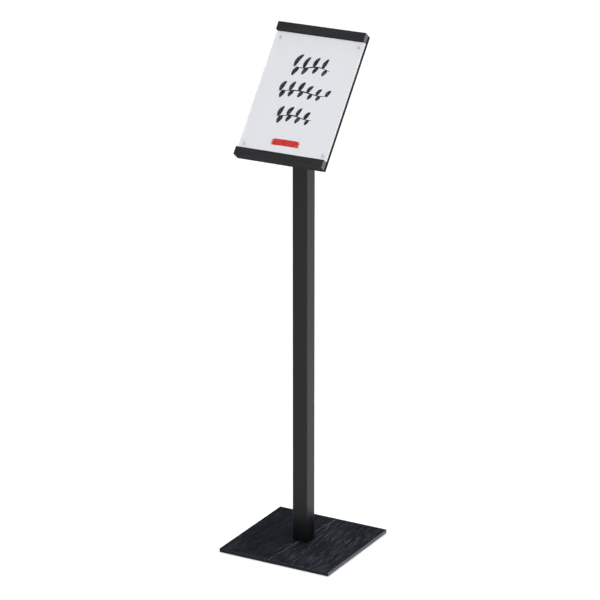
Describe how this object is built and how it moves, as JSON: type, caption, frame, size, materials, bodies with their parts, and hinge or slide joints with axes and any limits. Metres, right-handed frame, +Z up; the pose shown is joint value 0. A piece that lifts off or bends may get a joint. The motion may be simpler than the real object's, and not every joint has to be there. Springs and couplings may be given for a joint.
{
  "type": "sign stand",
  "caption": "Floor-standing sign holder: a square post on a weighted base carries a leaning panel whose rails and clear magnetic cover hold a letter-size sheet.",
  "frame": {"origin": "on the floor, at the centre of the square base", "axes": "+Z up along the post; -Y towards the reader, the way the sign faces; +X to the reader's right"},
  "size_m": [0.277, 0.277, 1.1781],
  "materials": {
    "base_wood": "black stain, open grain, satin",
    "rail_wood": "black stain, fine grain, satin",
    "panel_wood": "black stain, satin",
    "post_coating": "black powder coat, satin",
    "weight_steel": "dark primer, dull",
    "black_screws": "black oxide, satin",
    "pad_rubber": "moulded, dull",
    "insert_brass": "knurled, machined",
    "magnet_nickel": "nickel plate, bright",
    "clear_acrylic": "clear, polished faces and edges",
    "sheet_paper": "uncoated card with printed strokes"
  },
  "bodies": {
    "stand": {"base_board": "base_wood", "base_weight_plate": "weight_steel", "weight_plate_screws": "black_screws", "foot_pad_front_left": "pad_rubber", "foot_pad_front_right": "pad_rubber", "foot_pad_rear_left": "pad_rubber", "foot_pad_rear_right": "pad_rubber", "post_tube": "post_coating", "post_foot_plug": "weight_steel", "post_bolts": "black_screws", "head_plate": "post_coating", "head_screws": "black_screws", "panel_inserts": "insert_brass", "back_panel": "panel_wood", "upper_rail": "rail_wood", "lower_rail": "rail_wood", "upper_rail_screws": "black_screws", "lower_rail_screws": "black_screws", "panel_magnet_lower_left": "magnet_nickel", "panel_magnet_lower_right": "magnet_nickel", "panel_magnet_upper_left": "magnet_nickel", "panel_magnet_upper_right": "magnet_nickel"},
    "cover": {"clear_cover": "clear_acrylic", "cover_magnet_lower_left": "magnet_nickel", "cover_magnet_lower_right": "magnet_nickel", "cover_magnet_upper_left": "magnet_nickel", "cover_magnet_upper_right": "magnet_nickel"},
    "sheet": {"sign_sheet": "sheet_paper"}
  },
  "joints": [
    {"name": "cover_lift", "type": "slide", "parent": "stand", "child": "cover", "axis": [0, -0.7826, 0.6225], "range_m": [0, 0.12]},
    {"name": "sheet_slide", "type": "slide", "parent": "stand", "child": "sheet", "axis": [1, 0, 0], "range_m": [-0.22, 0.22]}
  ]
}
